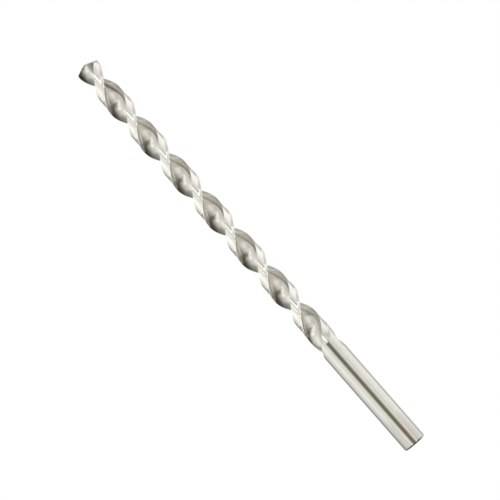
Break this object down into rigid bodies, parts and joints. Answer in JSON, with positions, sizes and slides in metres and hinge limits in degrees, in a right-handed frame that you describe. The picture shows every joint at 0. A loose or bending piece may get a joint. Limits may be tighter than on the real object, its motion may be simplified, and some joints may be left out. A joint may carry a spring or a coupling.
{
  "type": "twist drill bit",
  "caption": "Long twist drill bit with a plain round shank, fast right-hand helical flutes, margined lands and a split point.",
  "frame": {"origin": "centre of the flat end face of the shank, on which the bit stands", "axes": "+Z along the axis from the shank to the tip; the two lips lie along X, and the bit cuts turning anticlockwise seen from above the tip"},
  "size_m": [0.01, 0.01, 0.2],
  "materials": {
    "steel": "bright ground high speed steel"
  },
  "bodies": {
    "root": {"drill_bit": "steel"}
  },
  "joints": []
}
